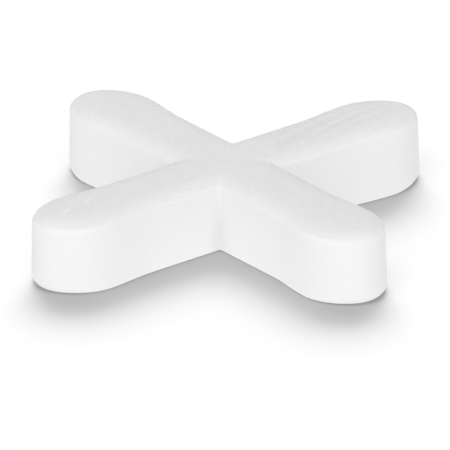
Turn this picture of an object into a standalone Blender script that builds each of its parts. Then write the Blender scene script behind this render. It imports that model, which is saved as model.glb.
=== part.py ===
"""Cross-shaped spacer that keeps the joint open where the corners of four tiles meet.

One piece of moulded white plastic. Its four arms are alike: parallel-sided near the
middle, then widening a little, then closed by a rounded end. Both edges are narrowly
rolled along the sides and more fully at the tips. The top is crowned, level along the
arms' centre lines and falling ever faster towards the edge. The underside is flat.

The solid is a loft. One section, from the underside up the wall and over the upper
edge, is carried round the plan outline, and the crown closes it along the arms'
centre lines.
"""

import bmesh
import bpy
import numpy as np

MM = 0.001

# Driving sizes, in millimetres
SPAN = 28.0  # tip to tip, the same both ways
THICKNESS = 4.5  # underside to the top of the crown
WAIST_WIDTH = 4.65  # width across an arm's parallel sides
BULB_WIDTH = 5.2  # greatest width, where the rounded end begins
END_LENGTH = 3.35  # length of the rounded end
FLARE_LENGTH = 3.4  # length over which the arm widens before its end
CROTCH_RADIUS = 0.2  # inside corner between two arms
EDGE_RADIUS = 0.25  # roll of the upper edge along the sides
TIP_EDGE_RADIUS = 0.45  # the same roll at the tips
BASE_RADIUS = 0.2  # roll of the lower edge along the sides
TIP_BASE_RADIUS = 0.6  # the same roll at the tips
CROWN_RISE = 0.35  # height of the crown above the rolled edge
CROWN_POWER = 4.0  # how late the crown falls: 2 is a plain dome, more is flatter
DRAFT_DEGREES = 1.0  # lean of the walls that frees the piece from its mould

# Steps along each curve
CROTCH_STEPS = 2
STRAIGHT_STEPS = 4
FLARE_STEPS = 6
END_STEPS = 10
EDGE_STEPS = 4
BASE_STEPS = 3
CROWN_STEPS = 8

ARMS = 4
SHARP_DEGREES = 35.0
WELD_DISTANCE = 0.001

PLASTIC_COLOUR = (0.86, 0.86, 0.85, 1.0)
PLASTIC_ROUGHNESS = 0.45

# Places that follow from the sizes
reach = SPAN / 2
waist = WAIST_WIDTH / 2
bulb = BULB_WIDTH / 2
bulb_place = reach - END_LENGTH
flare_place = bulb_place - FLARE_LENGTH
corner_place = waist + CROTCH_RADIUS
crown_edge = THICKNESS - CROWN_RISE
draft = crown_edge * np.tan(np.radians(DRAFT_DEGREES))
crown_slope = np.arctan2(CROWN_POWER * CROWN_RISE, waist - draft)


def clear_scene():
    """Remove whatever the open file holds."""
    for item in list(bpy.data.objects):
        bpy.data.objects.remove(item, do_unlink=True)


def with_normals(points, normals):
    """Pair each point of the outline with its unit normal, pointing out."""
    normals = normals / np.hypot(normals[:, 0], normals[:, 1])[:, None]
    return np.stack([points, normals], axis=1)


def corner_run():
    """Half of the inside corner's arc, from the diagonal to the arm's side.

    Its way out is the sum of both arms' normals, so the corner keeps its radius
    however far in a ring lies.
    """
    turn = np.linspace(5 / 4, 3 / 2, CROTCH_STEPS + 1) * np.pi
    spoke = np.column_stack([np.cos(turn), np.sin(turn)])
    return np.stack([corner_place + CROTCH_RADIUS * spoke, np.ones_like(spoke)], axis=1)


def straight_run():
    """The arm's parallel side, whose way out swings from the corner's to its own normal."""
    part = np.linspace(0, 1, STRAIGHT_STEPS + 1)
    along = corner_place + (flare_place - corner_place) * part
    points = np.column_stack([along, np.full_like(part, waist)])
    return np.stack([points, np.column_stack([1 - part, np.ones_like(part)])], axis=1)


def flare_run():
    """The widening, half a cosine wave, so that it is level at both its ends."""
    part = np.linspace(0, 1, FLARE_STEPS + 1)
    width = waist + (bulb - waist) * (1 - np.cos(np.pi * part)) / 2
    slope = (bulb - waist) * np.pi * np.sin(np.pi * part) / (2 * FLARE_LENGTH)
    points = np.column_stack([flare_place + FLARE_LENGTH * part, width])
    return with_normals(points, np.column_stack([-slope, np.ones_like(slope)]))


def end_run():
    """The rounded end, a quarter of an ellipse from the widest place to the tip."""
    turn = np.linspace(0, np.pi / 2, END_STEPS + 1)
    points = np.column_stack([bulb_place + END_LENGTH * np.sin(turn), bulb * np.cos(turn)])
    normals = np.column_stack([bulb * np.sin(turn), END_LENGTH * np.cos(turn)])
    return with_normals(points, normals)


def arm_side():
    """One side of the arm along +X: a point, its way out and its place on the centre line."""
    runs = [corner_run(), straight_run(), flare_run(), end_run()]
    side = np.concatenate([runs[0]] + [run[1:] for run in runs[1:]])
    along = side[:, 0, 0]
    spine = np.zeros_like(side[:, 0])
    spine[:, 0] = (along - along[0]) / (reach - along[0]) * (reach - bulb)
    return np.concatenate([side, spine[:, None]], axis=1)


def plan_outline():
    """The closed outline, counterclockwise: both sides of one arm, turned to every arm."""
    side = arm_side()
    arm = np.concatenate([side * (1, -1), side[-2:0:-1]])
    loop = []
    for number in range(ARMS):
        angle = 2 * np.pi * number / ARMS
        turn = np.array([[np.cos(angle), np.sin(angle)], [-np.sin(angle), np.cos(angle)]])
        loop.append(arm @ turn)
    return np.concatenate(loop)


def roll_radii(outline):
    """Radius of the lower and of the upper roll at each place, growing over the rounded ends."""
    along = np.abs(outline).max(axis=1)
    part = np.clip((along - bulb_place) / END_LENGTH, 0, 1)
    growth = (1 - np.cos(np.pi * part)) / 2
    base = BASE_RADIUS + (TIP_BASE_RADIUS - BASE_RADIUS) * growth
    edge = EDGE_RADIUS + (TIP_EDGE_RADIUS - EDGE_RADIUS) * growth
    return base, edge


def edge_section(base, edge):
    """How far in and how high each ring lies, from the underside to the crown's edge."""
    for turn in np.linspace(np.pi / 2, 0, BASE_STEPS + 1):
        yield base * (1 - np.cos(turn)), base * (1 - np.sin(turn))
    wall_head = crown_edge - edge * np.cos(crown_slope)
    for turn in np.linspace(0, np.pi / 2 - crown_slope, EDGE_STEPS + 1):
        yield draft + edge * (1 - np.cos(turn)), wall_head + edge * np.sin(turn)


def rings():
    """Every ring of the loft, as rows of x, y and z, from the underside to the spine."""
    outline, outward, spine = np.moveaxis(plan_outline(), 1, 0)
    made = []
    for inset, height in edge_section(*roll_radii(outline)):
        made.append(np.column_stack([outline - inset[:, None] * outward, height]))
    edge = made[-1]
    for part in np.linspace(0, 1, CROWN_STEPS + 1)[1:]:
        plan = (1 - part) * edge[:, :2] + part * spine
        height = THICKNESS - CROWN_RISE * (1 - part) ** CROWN_POWER
        made.append(np.column_stack([plan, np.full(len(plan), height)]))
    return made


def lofted_mesh(name):
    """Join the rings with faces, close the underside and weld the crown on its spine."""
    mesh = bpy.data.meshes.new(name)
    bm = bmesh.new()
    loops = [[bm.verts.new(point * MM) for point in ring] for ring in rings()]
    bm.faces.new(reversed(loops[0]))
    for below, above in zip(loops, loops[1:]):
        for here in range(len(below)):
            before = here - 1
            bm.faces.new((below[before], below[here], above[here], above[before]))
    bmesh.ops.remove_doubles(bm, verts=loops[-1], dist=WELD_DISTANCE * MM)
    bm.to_mesh(mesh)
    bm.free()
    mesh.shade_smooth()
    mesh.set_sharp_from_angle(angle=np.radians(SHARP_DEGREES))
    return mesh


def plastic():
    """The satin white plastic."""
    material = bpy.data.materials.new("white_plastic")
    material.use_nodes = True
    shader = material.node_tree.nodes["Principled BSDF"]
    shader.inputs["Base Color"].default_value = PLASTIC_COLOUR
    shader.inputs["Roughness"].default_value = PLASTIC_ROUGHNESS
    shader.inputs["Metallic"].default_value = 0.0
    material.diffuse_color = PLASTIC_COLOUR
    return material


def tile_spacer():
    """The finished piece, standing on its flat underside with its middle at the origin."""
    mesh = lofted_mesh("tile_spacer")
    mesh.materials.append(plastic())
    piece = bpy.data.objects.new("tile_spacer", mesh)
    bpy.context.scene.collection.objects.link(piece)
    return piece


clear_scene()
tile_spacer()
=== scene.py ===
"""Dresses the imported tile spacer: its moulded surface, its white plastic, floor, light and camera.

The spacer is one piece of moulded plastic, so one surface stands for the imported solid.
It follows the same plan and section, on a grid fine enough for the marks on its top:
the drawn lines on one arm, the gate's witness near the middle, and two nicks on the
arm opposite.
"""

import logging
import math
from dataclasses import dataclass, field
from enum import Enum

import bmesh
import bpy
import numpy as np
from mathutils import Matrix, Vector
from numpy.typing import NDArray

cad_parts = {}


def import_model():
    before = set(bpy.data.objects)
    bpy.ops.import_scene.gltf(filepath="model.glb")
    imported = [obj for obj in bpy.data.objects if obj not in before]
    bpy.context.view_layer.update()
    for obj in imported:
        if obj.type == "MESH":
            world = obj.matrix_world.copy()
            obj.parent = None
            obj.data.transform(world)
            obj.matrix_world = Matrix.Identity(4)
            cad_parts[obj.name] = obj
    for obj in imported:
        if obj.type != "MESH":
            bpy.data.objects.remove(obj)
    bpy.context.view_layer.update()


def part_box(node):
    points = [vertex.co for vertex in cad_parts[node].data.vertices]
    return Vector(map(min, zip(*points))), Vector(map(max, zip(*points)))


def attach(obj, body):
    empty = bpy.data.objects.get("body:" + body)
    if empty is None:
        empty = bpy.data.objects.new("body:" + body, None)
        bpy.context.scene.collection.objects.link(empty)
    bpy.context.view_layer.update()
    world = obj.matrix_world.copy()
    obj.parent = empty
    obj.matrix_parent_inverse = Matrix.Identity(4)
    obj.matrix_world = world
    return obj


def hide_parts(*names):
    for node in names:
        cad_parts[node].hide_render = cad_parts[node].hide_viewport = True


MM = 0.001
NODE = "tile_spacer"
# the marks' shade on the top plus the painted shade in the inside corners
SHADE_NAME = "marks_and_painted_shade"
WELD_DISTANCE = 1e-7
QUARTER_TURNS = ((1, 0), (0, 1), (-1, 0), (0, -1))  # cosine and sine of each
WHITE = (1.0, 1.0, 1.0, 1.0)

Array = NDArray[np.float64]
Colour = tuple[float, float, float]
Range = tuple[float, float]
Inputs = dict[str | int, object]
Socket = bpy.types.NodeSocket

log = logging.getLogger("tile_spacer")


def smooth_step(value: Array, low: float, high: float) -> Array:
    """Rise from 0 at low to 1 at high as 3 p squared minus 2 p cubed, p being the part of the way."""
    part = np.clip((value - low) / (high - low), 0.0, 1.0)
    return part * part * (3.0 - 2.0 * part)


def stretch(value: Array, start: float, stop: float, fades: Range) -> Array:
    """A smooth step up inside the start times one down inside the stop, each as long as its fade."""
    rise, fall = fades
    return smooth_step(value, start, start + rise) * (1 - smooth_step(value, stop - fall, stop))


def bell(value: Array, width: float) -> Array:
    """A soft ridge: e to the power of minus the square of value over width."""
    return np.exp(-((value / width) ** 2))


def facing(azimuth: float, elevation: float) -> Vector:
    """Unit direction from the object towards a place around it.

    Args:
        azimuth: Turn about the upright axis from the side that faces -Y, in degrees.
        elevation: Height above the floor, in degrees.

    Returns:
        The direction, which for a small positive azimuth leans towards +X.
    """
    turn, rise = math.radians(azimuth), math.radians(elevation)
    level = math.cos(rise)
    return Vector((math.sin(turn) * level, -math.cos(turn) * level, math.sin(rise)))


def new_object(name: str, data: bpy.types.ID) -> bpy.types.Object:
    """Make an object and link it into the scene.

    Args:
        name: The object's name.
        data: The mesh, lamp or camera that it shows.

    Returns:
        The object, at the origin.
    """
    made = bpy.data.objects.new(name, data)
    bpy.context.scene.collection.objects.link(made)
    return made


@dataclass(frozen=True)
class SpacerSizes:
    """The spacer's sizes in metres, as the solid has them.

    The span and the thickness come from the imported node's box.
    """

    span: float
    thickness: float
    waist_width: float = 4.65 * MM
    bulb_width: float = 5.2 * MM
    end_length: float = 3.35 * MM
    flare_length: float = 3.4 * MM
    crotch_radius: float = 0.2 * MM
    edge_radius: float = 0.25 * MM
    tip_edge_radius: float = 0.45 * MM
    base_radius: float = 0.2 * MM
    tip_base_radius: float = 0.6 * MM
    crown_rise: float = 0.35 * MM
    crown_power: float = 4.0
    draft: float = math.radians(1.0)

    @classmethod
    def from_node(cls, node: str) -> "SpacerSizes":
        """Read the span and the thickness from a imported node's box."""
        low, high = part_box(node)
        return cls(span=high.x - low.x, thickness=high.z - low.z)

    @property
    def reach(self) -> float:
        """From the middle to an arm's tip."""
        return self.span / 2

    @property
    def waist(self) -> float:
        """Half the width of an arm's parallel sides."""
        return self.waist_width / 2

    @property
    def bulb(self) -> float:
        """Half the greatest width of an arm."""
        return self.bulb_width / 2

    @property
    def bulb_place(self) -> float:
        """Where an arm is widest and its rounded end begins, from the middle."""
        return self.reach - self.end_length

    @property
    def flare_place(self) -> float:
        """Where the arm's parallel sides end, from the middle."""
        return self.bulb_place - self.flare_length

    @property
    def crown_edge(self) -> float:
        """Height at which the crown leaves the rolled edge."""
        return self.thickness - self.crown_rise


@dataclass(frozen=True)
class GridSteps:
    """How many steps the grid has along each run of the outline and of the section."""

    crotch: int = 6
    straight: int = 36
    flare: int = 30
    end: int = 42
    underside: int = 4
    base_roll: int = 6
    wall: int = 6
    edge_roll: int = 9
    crown: int = 54


@dataclass
class PlanOutline:
    """The closed plan outline, the way out of it, and its place on the arms' centre lines.

    The way out is the unit normal on the flare and the round end. Where two arms meet it
    is the sum of their sides' normals, so that the inside corner keeps its radius on
    every ring, and along the parallel side it swings from the one to the other.
    """

    sizes: SpacerSizes
    steps: GridSteps

    @staticmethod
    def _run(points: Array, normals: Array) -> Array:
        """Stack each point with its unit normal."""
        return np.stack([points, normals / np.linalg.norm(normals, axis=1, keepdims=True)], axis=1)

    def _crotch(self) -> Array:
        """Half of the inside corner: an arc about a centre out in the gap.

        It turns from the diagonal, at 5/4 of pi, to the arm's side, at 3/2 of pi.

        Returns:
            One row for each place, with its point and the way out of it.
        """
        size = self.sizes
        turn = np.linspace(5 / 4, 3 / 2, self.steps.crotch + 1) * np.pi
        spoke = np.column_stack([np.cos(turn), np.sin(turn)])
        points = size.waist + size.crotch_radius * (1 + spoke)
        return np.stack([points, np.ones_like(spoke)], axis=1)

    def _straight(self) -> Array:
        """The parallel side, at half the waist's width from the centre line.

        Returns:
            One row for each place, with its point and the way out of it.
        """
        size = self.sizes
        start = size.waist + size.crotch_radius
        part = np.linspace(0, 1, self.steps.straight + 1)[1:]
        along = start + (size.flare_place - start) * part
        points = np.column_stack([along, np.full_like(part, size.waist)])
        return np.stack([points, np.column_stack([1 - part, np.ones_like(part)])], axis=1)

    def _flare(self) -> Array:
        """The widening: half a cosine wave from the waist's width to the bulb's.

        Returns:
            One row for each place, with its point and the way out of it.
        """
        size = self.sizes
        part = np.linspace(0, 1, self.steps.flare + 1)[1:]
        gain = size.bulb - size.waist
        width = size.waist + gain * (1 - np.cos(np.pi * part)) / 2
        slope = gain * np.pi * np.sin(np.pi * part) / (2 * size.flare_length)
        points = np.column_stack([size.flare_place + size.flare_length * part, width])
        return self._run(points, np.column_stack([-slope, np.ones_like(slope)]))

    def _end(self) -> Array:
        """The rounded end: a quarter of an ellipse, as long as the end and as wide as the bulb.

        Returns:
            One row for each place, with its point and the way out of it.
        """
        size = self.sizes
        turn = np.linspace(0, np.pi / 2, self.steps.end + 1)[1:]
        along = size.bulb_place + size.end_length * np.sin(turn)
        points = np.column_stack([along, size.bulb * np.cos(turn)])
        normals = np.column_stack([size.bulb * np.sin(turn), size.end_length * np.cos(turn)])
        return self._run(points, normals)

    def loop(self) -> Array:
        """Both sides of one arm, turned by quarter turns to all four arms.

        Returns:
            One row for each place on the outline, each with a point, the way out of it
            and a point on the arm's centre line, which runs evenly from the middle to
            half the bulb's width short of the tip.
        """
        side = np.concatenate([self._crotch(), self._straight(), self._flare(), self._end()])
        along = side[:, 0, 0]
        spine = np.zeros_like(side[:, 0])
        spine[:, 0] = (along - along[0]) / (along[-1] - along[0])
        spine *= self.sizes.reach - self.sizes.bulb
        side = np.concatenate([side, spine[:, None]], axis=1)
        arm = np.concatenate([side * (1, -1), side[-2:0:-1]])
        turns = [np.array([[cos, sin], [-sin, cos]]) for cos, sin in QUARTER_TURNS]
        return np.concatenate([arm @ turn for turn in turns])


@dataclass
class EdgeSection:
    """The section carried round the outline, from the middle of the underside to the crown."""

    sizes: SpacerSizes
    steps: GridSteps

    def _rolls(self, along: Array) -> tuple[Array, Array]:
        """Radii of the two rolls, which grow over the rounded ends as half a cosine wave.

        Args:
            along: How far along its arm each place of the outline lies.

        Returns:
            The radius of the lower roll and that of the upper one at each place.
        """
        size = self.sizes
        part = np.clip((along - size.bulb_place) / size.end_length, 0, 1)
        growth = (1 - np.cos(np.pi * part)) / 2
        base = size.base_radius + (size.tip_base_radius - size.base_radius) * growth
        edge = size.edge_radius + (size.tip_edge_radius - size.edge_radius) * growth
        return base, edge

    def rings(self, along: Array) -> tuple[Array, Array, Array]:
        """Inset from the outline and height for each ring at each place of the outline.

        From below: rings that spread from the centre lines over the flat underside, the
        lower roll, the leaning wall, the upper roll, and the crown, which leaves the roll
        at one slope all round and flattens towards the centre lines as a fourth power.

        Args:
            along: How far along its arm each place of the outline lies.

        Returns:
            Insets and heights, of rings by places, and for each ring how far it has
            shrunk from the edge, at 0, onto the centre lines, at 1.
        """
        size, steps = self.sizes, self.steps
        base, edge = self._rolls(along)
        draft = size.crown_edge * math.tan(size.draft)
        slope = math.atan2(size.crown_power * size.crown_rise, size.waist - draft)
        head = size.crown_edge - edge * math.cos(slope)
        under = np.linspace(1, 0, steps.underside + 1)[:-1, None]
        lower = np.linspace(np.pi / 2, 0, steps.base_roll + 1)[:, None]
        wall = np.linspace(0, 1, steps.wall + 1)[1:-1, None]
        upper = np.linspace(0, np.pi / 2 - slope, steps.edge_roll + 1)[:, None]
        crown = np.linspace(0, 1, steps.crown + 1)[1:, None]
        inset = [
            base + 0 * under,
            base * (1 - np.cos(lower)),
            draft * wall + 0 * base,
            draft + edge * (1 - np.cos(upper)),
            draft + edge * (1 - math.sin(slope)) + 0 * crown,
        ]
        height = [
            0 * base * under,
            base * (1 - np.sin(lower)),
            base + (head - base) * wall,
            head + edge * np.sin(upper),
            size.thickness - size.crown_rise * (1 - crown) ** size.crown_power + 0 * edge,
        ]
        part = [under, 0 * lower, 0 * wall, 0 * upper, crown]
        return np.concatenate(inset), np.concatenate(height), np.concatenate(part)


class MouldMark(Enum):
    """The marks on the top, each with how far it stands out of the surface, in metres."""

    DRAWN_LINE = 12.0e-6
    GATE_RIM = 10.0e-6
    GATE_DISC = 3.0e-6
    NICK = 20.0e-6


@dataclass(frozen=True)
class DrawnLine:
    """A faint line left along an arm, in metres.

    It runs along the arm from start to stop, begins at place across the arm, and climbs
    from there by climb.
    """

    start: float
    stop: float
    place: float
    climb: float
    width: float = 0.17 * MM


@dataclass(frozen=True)
class Nick:
    """A short nick in the top, as a soft ridge about a place, along a direction."""

    place: tuple[float, float]
    length: float
    angle: float
    width: float = 0.12 * MM


@dataclass
class TopRelief:
    """How far the top stands above its smooth crown, from the marks of moulding and handling.

    The band is the part of the arm that the drawn lines cross. Scuff is how strongly a
    nick lightens the plastic, where the darkest place between two lines counts as 1.
    """

    lines: tuple[DrawnLine, ...] = (
        DrawnLine(5.6 * MM, 12.8 * MM, -0.30 * MM, 0.80 * MM),
        DrawnLine(5.9 * MM, 12.9 * MM, -1.05 * MM, 0.75 * MM),
        DrawnLine(8.8 * MM, 12.8 * MM, -1.45 * MM, 0.35 * MM),
        DrawnLine(4.8 * MM, 12.4 * MM, 0.70 * MM, 0.50 * MM),
        DrawnLine(2.6 * MM, 5.6 * MM, 0.40 * MM, 0.05 * MM),
        DrawnLine(3.2 * MM, 6.0 * MM, -0.95 * MM, 0.35 * MM),
    )
    nicks: tuple[Nick, ...] = (
        Nick((-11.9 * MM, 0.02 * MM), 0.42 * MM, math.radians(14)),
        Nick((-9.85 * MM, 0.46 * MM), 0.26 * MM, math.radians(20)),
    )
    climb_length: float = 4.5 * MM
    line_fades: Range = (1.2 * MM, 1.0 * MM)
    band_fades: Range = (2.0 * MM, 1.0 * MM)
    band_place: float = 0.3 * MM
    band_width: float = 1.9 * MM
    scuff: float = 2.2
    gate_place: tuple[float, float] = (0.75 * MM, -0.75 * MM)
    gate_radius: float = 1.25 * MM
    gate_rim_width: float = 0.16 * MM

    def _drawn_lines(self, x: Array, y: Array) -> Array:
        """Sum of the lines: each is a bell across a path that climbs smoothly along the arm.

        Args:
            x: Place along the first two arms, in metres.
            y: Place along the other two, in metres.

        Returns:
            From 0 between the lines to 1 on one.
        """
        total = np.zeros_like(x)
        for line in self.lines:
            path = line.place + line.climb * smooth_step(x, line.start, line.start + self.climb_length)
            total += stretch(x, line.start, line.stop, self.line_fades) * bell(y - path, line.width)
        return total

    def _gate(self, x: Array, y: Array) -> Array:
        """A low disc with a slightly higher rim, where the plastic entered the mould.

        Args:
            x: Place along the first two arms, in metres.
            y: Place along the other two, in metres.

        Returns:
            A bell across the rim's circle plus a smooth step down over the disc's edge.
        """
        away = np.hypot(x - self.gate_place[0], y - self.gate_place[1])
        rim = MouldMark.GATE_RIM.value * bell(away - self.gate_radius, self.gate_rim_width)
        edge = self.gate_radius + self.gate_rim_width
        disc = MouldMark.GATE_DISC.value * (1 - smooth_step(away, self.gate_radius, edge))
        return rim + disc

    def _nicks(self, x: Array, y: Array) -> Array:
        """Sum of the nicks.

        Args:
            x: Place along the first two arms, in metres.
            y: Place along the other two, in metres.

        Returns:
            For each nick, a bell along it times a narrower bell across it.
        """
        height = np.zeros_like(x)
        for nick in self.nicks:
            cos, sin = math.cos(nick.angle), math.sin(nick.angle)
            dx, dy = x - nick.place[0], y - nick.place[1]
            along, across = cos * dx + sin * dy, cos * dy - sin * dx
            height += bell(along, nick.length) * bell(across, nick.width)
        return height

    def height(self, x: Array, y: Array) -> Array:
        """Metres above the crown: the drawn lines, the gate's witness and the nicks, added."""
        lines = MouldMark.DRAWN_LINE.value * self._drawn_lines(x, y)
        return lines + self._gate(x, y) + MouldMark.NICK.value * self._nicks(x, y)

    def shade(self, x: Array, y: Array) -> Array:
        """How much darker a place is: between the drawn lines, inside the band they cross.

        A nick is lighter, as scuffed plastic is.

        Args:
            x: Place along the first two arms, in metres.
            y: Place along the other two, in metres.

        Returns:
            1 between two lines, 0 on a line and outside the band, and less than 0 on a nick.
        """
        start, stop = min(line.start for line in self.lines), max(line.stop for line in self.lines)
        band = stretch(x, start, stop, self.band_fades) * bell(y - self.band_place, self.band_width)
        between = 1 - np.clip(self._drawn_lines(x, y), 0, 1)
        return band * between - self.scuff * self._nicks(x, y)


@dataclass
class ShaderGraph:
    """The nodes of a material or of the world."""

    tree: bpy.types.NodeTree

    def feed(self, node: bpy.types.Node, inputs: Inputs) -> None:
        """Set or link a node's inputs.

        Args:
            node: The node to feed.
            inputs: For each input, by name or number, its value or the output that feeds it.
        """
        for key, value in inputs.items():
            if isinstance(value, Socket):
                self.tree.links.new(value, node.inputs[key])
            else:
                node.inputs[key].default_value = value

    def add(self, kind: str, output: str, inputs: Inputs | None = None, **settings: object) -> Socket:
        """Add a node.

        Args:
            kind: The node's type, without the word ShaderNode that they all begin with.
            output: The name of the output that is wanted.
            inputs: The node's inputs, as feed takes them.
            **settings: The node's own properties, set before its inputs.

        Returns:
            The named output.
        """
        node = self.tree.nodes.new("ShaderNode" + kind)
        for name, value in settings.items():
            setattr(node, name, value)
        self.feed(node, inputs or {})
        return node.outputs[output]

    def combine(self, operation: str, *terms: Socket | float, **settings: object) -> Socket:
        """Add a Math node that combines its terms, in their order."""
        return self.add("Math", "Value", dict(enumerate(terms)), operation=operation, **settings)

    def remap(self, value: Socket, source: Range, target: Range, **settings: object) -> Socket:
        """Add a Map Range node that carries a value from the source range to the target range."""
        ends = dict(zip(("From Min", "From Max", "To Min", "To Max"), (*source, *target)))
        return self.add("MapRange", "Result", {"Value": value, **ends}, **settings)

    def seen_directly(self) -> Socket:
        """Tell rays that look at a thing or mirror it from those that light others with it.

        Returns:
            1 for camera, glossy and transmission rays, added and clamped, and 0 for others.
        """
        total = self.add("LightPath", "Is Camera Ray")
        rays = total.node.outputs
        for name in ("Is Glossy Ray", "Is Transmission Ray"):
            total = self.combine("ADD", total, rays[name], use_clamp=True)
        return total


@dataclass(frozen=True)
class Noise:
    """A noise: its cells' size in metres, its finer octaves and how strong they are."""

    size: float
    detail: float
    roughness: float

    def add_to(self, graph: ShaderGraph, place: Socket) -> Socket:
        """Add the noise to a graph.

        Args:
            graph: The graph that takes it.
            place: The coordinates at which it is read.

        Returns:
            Its level, from 0 to 1.
        """
        inputs = {
            "Vector": place,
            "Scale": 1 / self.size,
            "Detail": self.detail,
            "Roughness": self.roughness,
        }
        return graph.add("TexNoise", "Fac", inputs)


@dataclass(frozen=True)
class MouldedPlastic:
    """White polyethylene as it leaves the mould: satin, finely grained, a little translucent.

    The walls, which the mould's steel left smoother, take a share of the top's mottle
    and grain. Between the two top slopes, which are heights of a face's normal, that
    share grows to the whole.
    """

    name: str = "white_plastic"
    colour: Colour = (0.87, 0.87, 0.87)
    mottle: Noise = Noise(0.2 * MM, 6.0, 0.7)
    mottle_range: Range = (0.35, 0.65)
    mottle_depth: float = 0.035
    # how far the marks and the painted corner shade darken the colour
    marks_and_painted_shade_depth: float = 0.045
    roughness: float = 0.5
    specular: float = 0.1
    scatter: float = 0.25
    scatter_radius: Colour = (1.0, 1.0, 1.0)
    scatter_scale: float = 0.5 * MM
    grain: Noise = Noise(0.16 * MM, 4.0, 0.6)
    grain_height: float = 0.03 * MM
    ripple: Noise = Noise(0.9 * MM, 2.0, 0.5)
    ripple_height: float = 0.02 * MM
    ripple_strength: float = 0.5
    top_slopes: Range = (0.55, 0.95)
    wall_share: float = 0.25

    def _on_top(self, graph: ShaderGraph) -> Socket:
        """How much of the mottle and the grain a face takes, by its normal's height.

        Args:
            graph: The material's graph.

        Returns:
            A smooth step from the walls' share to 1 on the top.
        """
        upright = graph.add("SeparateXYZ", "Z", {"Vector": graph.add("NewGeometry", "Normal")})
        shares = (self.wall_share, 1.0)
        return graph.remap(upright, self.top_slopes, shares, interpolation_type="SMOOTHSTEP")

    def _tone(self, graph: ShaderGraph, place: Socket, on_top: Socket) -> Socket:
        """The colour, mottled about its mean, and times 1 less the depth times the shade, painted
        corner shade included.

        Args:
            graph: The material's graph.
            place: Object coordinates.
            on_top: How much of the mottle a face takes.

        Returns:
            The colour's output.
        """
        fleck = graph.remap(self.mottle.add_to(graph, place), self.mottle_range, (-0.5, 0.5))
        gains = (1 - self.mottle_depth, 1 + self.mottle_depth)
        dark, light = ((*(gain * value for value in self.colour), 1.0) for gain in gains)
        flecks = {"Factor": graph.combine("MULTIPLY_ADD", fleck, on_top, 0.5), "A": dark, "B": light}
        tint = graph.add("Mix", "Result", flecks, data_type="RGBA")
        # painted shade: this darkens the colour in the inside corners, as well as between the drawn
        # lines
        shade = graph.add("Attribute", "Fac", attribute_name=SHADE_NAME)
        gain = graph.combine("MULTIPLY_ADD", shade, -self.marks_and_painted_shade_depth, 1.0)
        return graph.add("VectorMath", "Vector", {"Vector": tint, "Scale": gain}, operation="SCALE")

    def _texture(self, graph: ShaderGraph, place: Socket, on_top: Socket) -> Socket:
        """The normal: a slow ripple on every face, and over it the fine grain.

        Args:
            graph: The material's graph.
            place: Object coordinates.
            on_top: How much of the grain a face takes.

        Returns:
            The normal's output.
        """
        swell = {
            "Height": self.ripple.add_to(graph, place),
            "Distance": self.ripple_height,
            "Strength": self.ripple_strength,
        }
        fine = {
            "Height": self.grain.add_to(graph, place),
            "Distance": self.grain_height,
            "Strength": on_top,
            "Normal": graph.add("Bump", "Normal", swell),
        }
        return graph.add("Bump", "Normal", fine)

    def material(self) -> bpy.types.Material:
        """Build the material, with its mottle, grain and ripple on Object coordinates.

        Returns:
            The finished material.
        """
        material = bpy.data.materials.new(self.name)
        material.use_nodes = True
        graph = ShaderGraph(material.node_tree)
        place = graph.add("TexCoord", "Object")
        on_top = self._on_top(graph)
        inputs = {
            "Base Color": self._tone(graph, place, on_top),
            "Roughness": self.roughness,
            "Specular IOR Level": self.specular,
            "Subsurface Weight": self.scatter,
            "Subsurface Radius": self.scatter_radius,
            "Subsurface Scale": self.scatter_scale,
            "Normal": self._texture(graph, place, on_top),
        }
        graph.feed(material.node_tree.nodes["Principled BSDF"], inputs)
        return material


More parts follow.
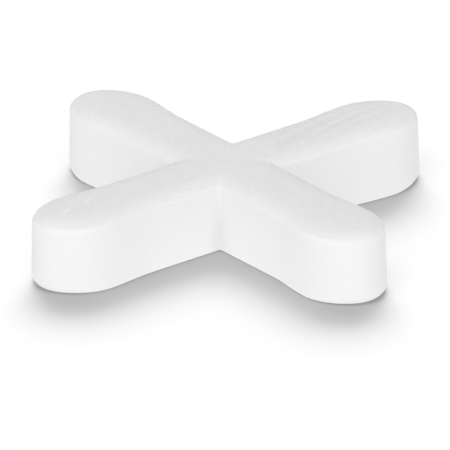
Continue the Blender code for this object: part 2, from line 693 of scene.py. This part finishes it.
@dataclass
class SpacerBody:
    """The moulded cross as one closed surface, dressed in its plastic.

    The relief fades in over the first part of the way from the crown's edge to the
    centre lines. The painted shade in the inside corners counts the darkest place
    between two drawn lines as 1, and its reach is how far it spreads from an inside
    corner.
    """

    sizes: SpacerSizes
    steps: GridSteps = field(default_factory=GridSteps)
    relief: TopRelief = field(default_factory=TopRelief)
    relief_fade: float = 0.12
    finish: MouldedPlastic = field(default_factory=MouldedPlastic)
    # painted shade in the inside corners, and how far from them it reaches
    painted_corner_shade: float = 1.5
    painted_shade_reach: float = 0.6 * MM
    name: str = "spacer_body"

    def surface(self) -> Array:
        """Points of the surface over the grid of section and outline.

        A point lies at (1 - t) (O - i N) + t S, with O the outline, N the way out of it,
        S the centre line, and i and t the ring's inset and part. Its height is the
        ring's, and on the crown the relief is added, faded in past the edge.

        Returns:
            An array of rings by places by x, y and z.
        """
        outline, outward, spine = np.moveaxis(PlanOutline(self.sizes, self.steps).loop(), 1, 0)
        along = np.abs(outline).max(axis=1)
        inset, level, part = EdgeSection(self.sizes, self.steps).rings(along)
        edge = outline - inset[..., None] * outward
        plan = (1 - part[..., None]) * edge + part[..., None] * spine
        on_top = smooth_step(part, 0.0, self.relief_fade) * (level > self.sizes.thickness / 2)
        level = level + on_top * self.relief.height(plan[..., 0], plan[..., 1])
        return np.concatenate([plan, level[..., None]], axis=2)

    def shade(self, points: Array) -> Array:
        """How much darker each place is, from the marks on the top and the painted corner shade.

        The painted shade darkens the walls by a bell of the plan distance from the nearest
        inside corner, where they shade each other, and most near the floor.

        Args:
            points: The surface's points.

        Returns:
            The shade of the marks plus the painted shade of the corners.
        """
        size = self.sizes
        marks = self.relief.shade(points[..., 0], points[..., 1])
        # painted shade: the walls darker near each inside corner, most near the floor
        away = np.hypot(np.abs(points[..., 0]) - size.waist, np.abs(points[..., 1]) - size.waist)
        depth = 1 - smooth_step(points[..., 2], 0.0, size.crown_edge)
        return marks + self.painted_corner_shade * bell(away, self.painted_shade_reach) * depth

    def mesh(self) -> bpy.types.Mesh:
        """Turn the grid into a closed mesh, welded along the centre lines on both faces.

        Returns:
            The mesh, with each point's shade, from the marks and the painted corner shade, as an
            attribute.
        """
        points = self.surface()
        rings, places = points.shape[:2]
        low = np.arange(rings - 1)[:, None] * places
        here = np.arange(places)[None, :]
        ahead = (here + 1) % places
        faces = np.stack([low + here, low + ahead, low + places + ahead, low + places + here], 2)
        mesh = bpy.data.meshes.new(self.name)
        mesh.vertices.add(rings * places)
        mesh.vertices.foreach_set("co", points.astype(np.float32).ravel())
        mesh.loops.add(faces.size)
        mesh.loops.foreach_set("vertex_index", faces.astype(np.int32).ravel())
        mesh.polygons.add(faces.size // 4)
        mesh.polygons.foreach_set("loop_start", np.arange(0, faces.size, 4, dtype=np.int32))
        # the marks' shade and the painted corner shade, carried to the material
        layer = mesh.attributes.new(SHADE_NAME, "FLOAT", "POINT")
        layer.data.foreach_set("value", self.shade(points).astype(np.float32).ravel())
        mesh.update(calc_edges=True)
        self._weld(mesh)
        mesh.shade_smooth()
        return mesh

    @staticmethod
    def _weld(mesh: bpy.types.Mesh) -> None:
        """Merge the points that the two sides of an arm share on its centre line.

        Args:
            mesh: The mesh to weld in place.
        """
        bm = bmesh.new()
        bm.from_mesh(mesh)
        bmesh.ops.remove_doubles(bm, verts=bm.verts, dist=WELD_DISTANCE)
        bm.to_mesh(mesh)
        bm.free()

    def build(self) -> bpy.types.Object:
        """Make the piece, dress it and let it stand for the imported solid.

        Returns:
            The finished piece.
        """
        piece = new_object(self.name, self.mesh())
        piece.data.materials.append(self.finish.material())
        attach(piece, "root")
        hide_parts(NODE)
        return piece


@dataclass(frozen=True)
class PaleFloor:
    """A plain pale floor that keeps the object's shadow.

    Its paint is lit to white by the tent and the floor lamps together. To rays that
    light other things it glows evenly with the strength of bounce, so that the shadow
    and the lamps don't reach the object by way of the floor.
    """

    size: float = 1.2
    drop: float = 0.02 * MM
    paint: Colour = (0.36, 0.36, 0.36)
    bounce: float = 0.995

    def material(self) -> bpy.types.Material:
        """Matt paint to rays that look at it or mirror it, and an even glow to the others.

        Returns:
            The finished material.
        """
        material = bpy.data.materials.new("floor_paint")
        material.use_nodes = True
        nodes = material.node_tree.nodes
        nodes.remove(nodes["Principled BSDF"])
        graph = ShaderGraph(material.node_tree)
        paint = graph.add("BsdfDiffuse", "BSDF", {"Color": (*self.paint, 1.0)})
        glow = graph.add("Emission", "Emission", {"Strength": self.bounce})
        mix = graph.add("MixShader", "Shader", {"Fac": graph.seen_directly(), 1: glow, 2: paint})
        graph.feed(nodes["Material Output"], {"Surface": mix})
        return material

    def build(self) -> bpy.types.Object:
        """Lay the floor just under the flat underside.

        Returns:
            The floor.
        """
        half = self.size / 2
        corners = [(-half, -half), (half, -half), (half, half), (-half, half)]
        mesh = bpy.data.meshes.new("floor")
        mesh.from_pydata([(x, y, -self.drop) for x, y in corners], [], [(0, 1, 2, 3)])
        mesh.materials.append(self.material())
        floor = new_object("floor", mesh)
        return floor


@dataclass(frozen=True)
class SoftLamp:
    """A distant, soft studio lamp.

    Azimuth, elevation and softness, the angle that the lamp spans, are in degrees. A
    strength of 1 shows a white surface that faces the lamp as white.
    """

    name: str
    azimuth: float
    elevation: float
    strength: float
    softness: float
    distance: float = 0.3

    def build(self) -> bpy.types.Object:
        """Hang the lamp so that it shines on the middle of the floor.

        Returns:
            The lamp.
        """
        light = bpy.data.lights.new(self.name, "SUN")
        light.energy = self.strength * math.pi
        light.angle = math.radians(self.softness)
        lamp = new_object(self.name, light)
        direction = facing(self.azimuth, self.elevation)
        lamp.rotation_euler = direction.to_track_quat("Z", "Y").to_euler()
        lamp.location = direction * self.distance
        return lamp


@dataclass(frozen=True)
class StudioLight:
    """A light tent, brightest high up on the camera's side, and lamps that light the floor alone.

    The azimuth and elevation of the tent's bright middle are in degrees.
    """

    front: float = 1.80
    back: float = 0.39
    power: float = 6.0
    azimuth: float = -43.4
    elevation: float = 50.0
    floor_lamps: tuple[SoftLamp, ...] = (
        SoftLamp("floor_lamp_back", 141.0, 43.0, 1.29, 35.0),
        SoftLamp("floor_lamp_wide", 141.0, 43.0, 1.03, 70.0),
        SoftLamp("floor_lamp_front", -57.0, 68.0, 0.4, 42.0),
    )

    def _tent(self) -> None:
        """Light the surroundings: white where they are seen or mirrored, else the tent.

        The tent's level goes from back to front with the power of (1 + c) / 2, where c is
        the cosine of the angle between a direction and the tent's bright middle.
        """
        world = bpy.data.worlds.new("light_tent")
        world.use_nodes = True
        graph = ShaderGraph(world.node_tree)
        pair = {0: graph.add("TexCoord", "Generated"), 1: facing(self.azimuth, self.elevation)}
        cosine = graph.add("VectorMath", "Value", pair, operation="DOT_PRODUCT")
        lobe = graph.combine("POWER", graph.remap(cosine, (-1.0, 1.0), (0.0, 1.0)), self.power)
        level = graph.remap(lobe, (0.0, 1.0), (self.back, self.front))
        choice = {"Factor": graph.seen_directly(), "A": level, "B": 1.0}
        strength = graph.add("Mix", "Result", choice, data_type="FLOAT")
        background = world.node_tree.nodes["Background"]
        graph.feed(background, {"Color": WHITE, "Strength": strength})
        bpy.context.scene.world = world

    def build(self, floor: bpy.types.Object) -> list[bpy.types.Object]:
        """Raise the tent, and hang the lamps that light the floor alone.

        Args:
            floor: The floor, which takes the object's shadow.

        Returns:
            The lamps.
        """
        self._tent()
        lit = bpy.data.collections.new("lit_by_floor_lamps")
        lit.objects.link(floor)
        lamps = [lamp.build() for lamp in self.floor_lamps]
        for lamp in lamps:
            lamp.light_linking.receiver_collection = lit
        return lamps


@dataclass(frozen=True)
class PhotoCamera:
    """The camera at the photograph's angle: a long lens, looking down on one corner.

    Angles are in degrees, the lens and the sensor in millimetres and the rest in metres.
    """

    azimuth: float = -37.42
    elevation: float = 24.11
    roll: float = -0.86
    distance: float = 0.957
    lens: float = 1289.6
    sensor: float = 36.0
    aim_right: float = -0.118 * MM
    aim_up: float = 0.205 * MM
    clip: Range = (0.01, 10.0)

    def build(self) -> bpy.types.Object:
        """Place the camera and make it the scene's.

        Returns:
            The camera.
        """
        back = facing(self.azimuth, self.elevation)
        right = Vector((0, 0, 1)).cross(back).normalized()
        up = back.cross(right)
        cos, sin = math.cos(math.radians(self.roll)), math.sin(math.radians(self.roll))
        right, up = cos * right + sin * up, cos * up - sin * right
        camera = bpy.data.cameras.new("photo_camera")
        camera.lens = self.lens
        camera.sensor_width = self.sensor
        camera.clip_start, camera.clip_end = self.clip
        piece = new_object("photo_camera", camera)
        place = self.aim_right * right + self.aim_up * up + self.distance * back
        turn = Matrix((right, up, back)).transposed().to_4x4()
        piece.matrix_world = Matrix.Translation(place) @ turn
        bpy.context.scene.camera = piece
        return piece


def main() -> None:
    """Load the frame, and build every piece."""
    logging.basicConfig(level=logging.INFO, format="%(name)s: %(message)s")
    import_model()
    camera = PhotoCamera().build()
    floor = PaleFloor().build()
    lamps = StudioLight().build(floor)
    body = SpacerBody(SpacerSizes.from_node(NODE)).build()
    for piece in (camera, floor, *lamps, body):
        log.info("%s is in place", piece.name)
    log.info("%s has %d faces", body.name, len(body.data.polygons))
    bpy.context.scene.view_settings.view_transform = "Standard"


if __name__ == "__main__":
    main()
